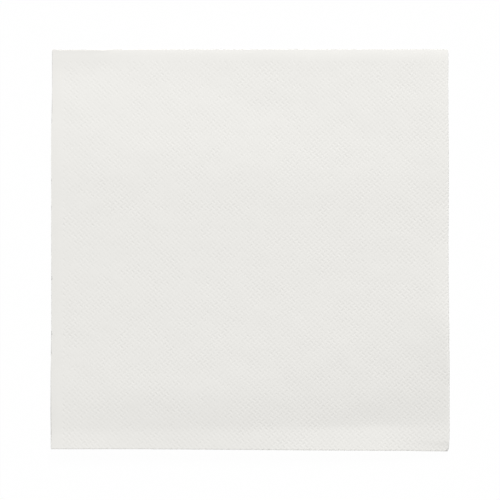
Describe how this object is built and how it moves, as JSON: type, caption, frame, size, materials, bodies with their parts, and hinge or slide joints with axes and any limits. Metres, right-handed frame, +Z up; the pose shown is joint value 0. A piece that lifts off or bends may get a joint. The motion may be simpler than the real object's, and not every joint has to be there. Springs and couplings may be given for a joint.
{
  "type": "paper napkin",
  "caption": "Square tissue-paper napkin folded in quarters, with two pressed folds and two open layered edges.",
  "frame": {"origin": "on the table, under the middle of the folded napkin", "axes": "+Z up through the layers; the first fold lies along -Y, the second fold along +X, and the open edges are at +Y and -X"},
  "size_m": [0.165, 0.1665, 0.0028],
  "materials": {
    "tissue_paper": "soft matt two-ply tissue, stamped all over with fine dashes"
  },
  "bodies": {
    "root": {"folded_napkin": "tissue_paper"}
  },
  "joints": []
}
